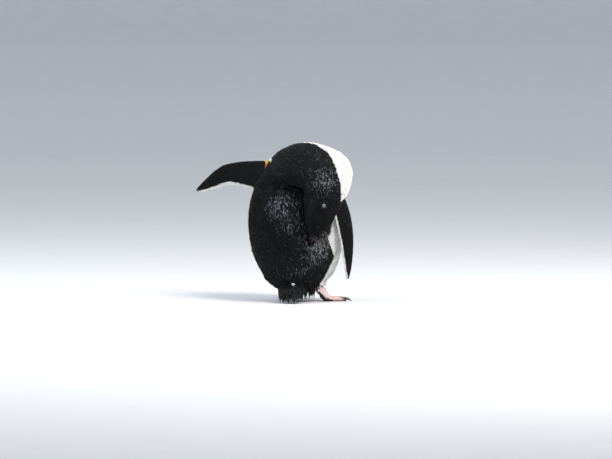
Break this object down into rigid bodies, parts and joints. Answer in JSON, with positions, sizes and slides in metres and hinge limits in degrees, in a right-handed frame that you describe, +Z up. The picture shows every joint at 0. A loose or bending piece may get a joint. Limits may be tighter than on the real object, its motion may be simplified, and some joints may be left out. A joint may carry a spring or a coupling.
{
  "type": "penguin",
  "caption": "Adelie penguin standing with its left flipper out and its neck bent round over the right shoulder, preening its back.",
  "frame": {"origin": "middle of the bounding box at floor level, under the feet and the tip of the tail", "axes": "+Z up; the bird faces -Y, so +X is its left side and -X its right side"},
  "size_m": [0.4944, 0.2455, 0.4156],
  "materials": {
    "plumage": "glossy black feathers with a blue cast above, white below",
    "foot_skin": "pale pink scaly skin with a black sole",
    "bill": "satin horn, almost black with a brick-red base",
    "claw": "dark brown horn",
    "eye": "wet, dark brown",
    "strap": "satin black strap",
    "tag_yellow": "glossy yellow",
    "tag_orange": "glossy orange"
  },
  "bodies": {
    "root": {"trunk": "plumage", "neck_lower": "plumage", "neck_upper": "plumage", "head": "plumage", "flipper_left": "plumage", "flipper_right": "plumage", "tail": "plumage", "leg_left": "plumage", "leg_right": "plumage", "eye_left": "eye", "eye_right": "eye", "bill_upper": "bill", "bill_lower": "bill", "foot_left": "foot_skin", "foot_right": "foot_skin", "claw_left_inner": "claw", "claw_left_middle": "claw", "claw_left_outer": "claw", "claw_right_inner": "claw", "claw_right_middle": "claw", "claw_right_outer": "claw", "tag_band": "strap", "tag_yellow": "tag_yellow", "tag_orange": "tag_orange"}
  },
  "joints": []
}
